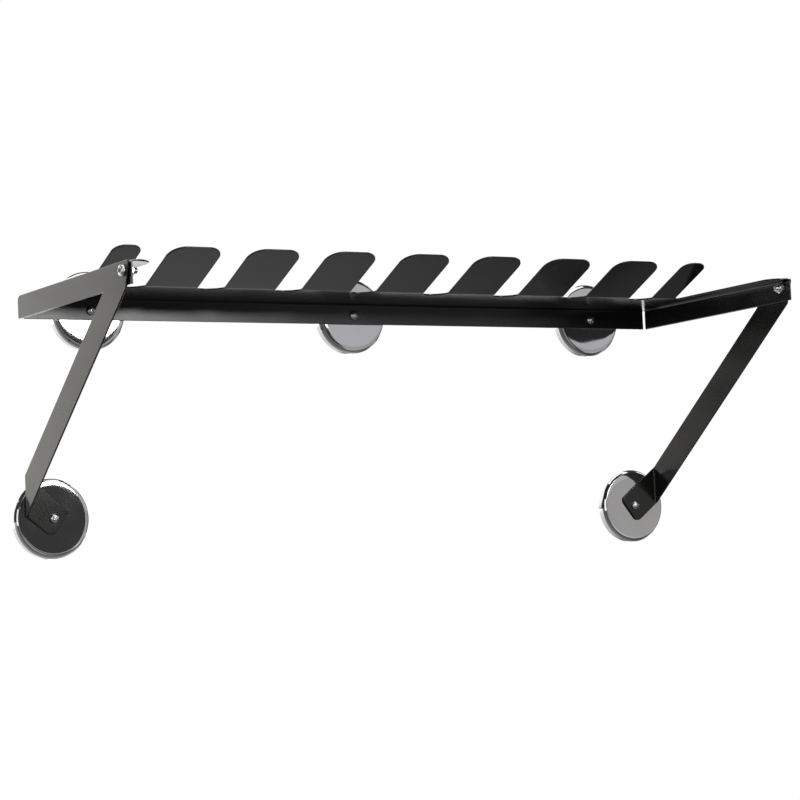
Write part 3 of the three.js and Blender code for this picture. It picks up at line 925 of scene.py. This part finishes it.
WORLD_SEEN = 1.0  # brightness of the backdrop to the camera
WORLD_REFLECTED = 0.06  # and in reflections, where no light stands


def make_world():
    world = bpy.data.worlds.new("pale_studio")
    bpy.context.scene.world = world
    world.use_nodes = True
    tree = world.node_tree
    tree.nodes.clear()
    output = tree.nodes.new("ShaderNodeOutputWorld")
    shades = []
    for level in (WORLD_SEEN, WORLD_REFLECTED):
        shade = tree.nodes.new("ShaderNodeBackground")
        shade.inputs["Color"].default_value = grey(1)
        shade.inputs["Strength"].default_value = level
        shades.append(shade.outputs["Background"])
    camera_ray_mix(tree, shades[0], shades[1], output)


FLOOR_Z = -0.62
FLOOR_SIZE = 16.0

# Brightness of the floor in reflections, as (place, brightness) with place 0 at -GLOW_REACH
# and 1 at +GLOW_REACH: bright behind the rack, dimmest in front of it, with a dark band and
# then a dark end to its right.
GLOW_REACH = 2.0
GLOW_ALONG_Y = ((0, 0.6), (0.25, 0.08), (0.475, 0.18), (0.58, 0.68), (0.74, 1.05), (1, 1.3))
GLOW_ALONG_X = ((0.55, 1), (0.67, 0.27), (0.76, 0.3), (0.84, 0.9), (0.95, 0.9), (1, 0.15))


def floor_glow(tree):
    place = tree.nodes.new("ShaderNodeTexCoord")
    split = tree.nodes.new("ShaderNodeSeparateXYZ")
    tree.links.new(place.outputs["Object"], split.inputs["Vector"])
    levels = []
    for axis, stops in (("Y", GLOW_ALONG_Y), ("X", GLOW_ALONG_X)):
        where = tree.nodes.new("ShaderNodeMapRange")
        where.inputs["From Min"].default_value = -GLOW_REACH
        where.inputs["From Max"].default_value = GLOW_REACH
        tree.links.new(split.outputs[axis], where.inputs["Value"])
        shades = [(position, grey(level)) for position, level in stops]
        levels.append(ramp(tree, where.outputs["Result"], shades))
    product = tree.nodes.new("ShaderNodeVectorMath")
    product.operation = "MULTIPLY"
    tree.links.new(levels[0], product.inputs[0])
    tree.links.new(levels[1], product.inputs[1])
    glow = tree.nodes.new("ShaderNodeEmission")
    tree.links.new(product.outputs["Vector"], glow.inputs["Color"])
    return glow.outputs["Emission"]


def make_floor():
    bm = bmesh.new()
    bmesh.ops.create_grid(bm, x_segments=8, y_segments=8, size=FLOOR_SIZE / 2)
    mesh = bpy.data.meshes.new("studio_floor")
    bm.to_mesh(mesh)
    bm.free()
    floor = bpy.data.objects.new("studio_floor", mesh)
    floor.location.z = FLOOR_Z
    bpy.context.scene.collection.objects.link(floor)
    material = bpy.data.materials.new("pale_floor")
    material.use_nodes = True
    tree = material.node_tree
    tree.nodes.clear()
    output = tree.nodes.new("ShaderNodeOutputMaterial")
    white = tree.nodes.new("ShaderNodeEmission")
    white.inputs["Color"].default_value = grey(1)
    camera_ray_mix(tree, white.outputs["Emission"], floor_glow(tree), output)
    mesh.materials.append(material)


def add_softbox(name, place, target, width, height, radiance, color):
    """A rectangular light, given by the brightness that a reflection of it shows."""
    light = bpy.data.lights.new(name, "AREA")
    light.shape = "RECTANGLE"
    light.size = width
    light.size_y = height
    light.energy = radiance * math.pi * width * height
    light.color = color
    lamp = bpy.data.objects.new(name, light)
    lamp.location = place
    aim = Vector(target) - Vector(place)
    lamp.rotation_mode = "QUATERNION"
    lamp.rotation_quaternion = aim.to_track_quat("-Z", "Y")
    lamp.visible_camera = False
    bpy.context.scene.collection.objects.link(lamp)


CAMERA_PLACE = (-1.1728, -2.0891, -0.2855)
CAMERA_TURN = (94.743, 2.690, -30.118)  # degrees about X, Y and Z
CAMERA_LENS = 122.23


def make_camera():
    camera = bpy.data.cameras.new("camera")
    camera.sensor_width = 36
    camera.lens = CAMERA_LENS
    camera.clip_start, camera.clip_end = 0.01, 100
    holder = bpy.data.objects.new("camera", camera)
    holder.location = CAMERA_PLACE
    holder.rotation_euler = [math.radians(angle) for angle in CAMERA_TURN]
    bpy.context.scene.collection.objects.link(holder)
    bpy.context.scene.camera = holder


WHITE = (1, 1, 1)
# name, place, target, width, height, radiance, colour
SOFTBOXES = (
    ("back_light", (0.65, 3.5, 1.2), (0.65, 0, 1.2), 5.6, 3.65, 1.65, (1, 0.985, 0.94)),
    ("key_light", (0.61, -2.5, 0.65), (0.0, 0, 0.55), 0.95, 0.9, 11.0, (1, 0.99, 0.97)),
    ("upper_card", (1.67, -1.93, 0.38), (0.04, -0.03, 0.38), 1.5, 0.64, 0.66, (0.98, 0.96, 1)),
    ("lower_card", (1.67, -1.93, -0.27), (0.04, -0.03, -0.27), 1.5, 0.66, 0.48, (1, 0.98, 0.96)),
    ("fill_card", (-2.0, -2.4, 0.2), (0, 0, 0), 1.8, 1.6, 0.45, WHITE),
    ("left_strip", (-2.3, -1.25, 0.1), (0, 0, 0), 1.2, 1.4, 1.6, WHITE),
    ("left_back_light", (-3.1, 1.9, 1.9), (0, 0, 0), 2.6, 1.5, 1.4, WHITE),
    ("right_light", (3.2, 0.2, 1.3), (0, 0, 0), 2.6, 2.2, 1.3, WHITE),
    ("high_front_light", (0, -2.8, 2.6), (0, 0, 0), 5.0, 2.0, 1.3, WHITE),
    ("top_light", (0.2, -0.3, 2.8), (0.2, -0.3, 0), 3.0, 2.6, 1.8, WHITE),
)

make_world()
make_floor()
for softbox in SOFTBOXES:
    add_softbox(*softbox)
make_camera()
bpy.context.scene.view_settings.view_transform = "Standard"
